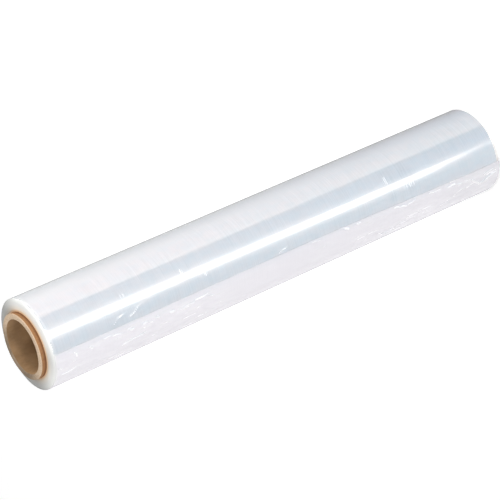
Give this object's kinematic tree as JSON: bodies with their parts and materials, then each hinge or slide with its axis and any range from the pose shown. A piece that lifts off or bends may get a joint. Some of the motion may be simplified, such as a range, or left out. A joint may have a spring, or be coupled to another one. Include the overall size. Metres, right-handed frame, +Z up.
{
  "type": "stretch wrap roll",
  "caption": "Hand roll of clear stretch film wound on a cardboard core that stands out at both ends, with a loose, creased outer turn ending in a straight cut edge.",
  "frame": {"origin": "on the floor, at the middle of the core's lower rim", "axes": "+Z up along the roll's axis, towards the end whose core mouth the picture shows; -Y is the front, and the film's cut edge lies 27 degrees from it towards -X"},
  "size_m": [0.0837, 0.0839, 0.5094],
  "materials": {
    "core_board": "matte brown board, paler on its cut ends",
    "clear_film": "glossy clear film, milky in bulk"
  },
  "bodies": {
    "root": {"core": "core_board", "film": "clear_film"}
  },
  "joints": []
}
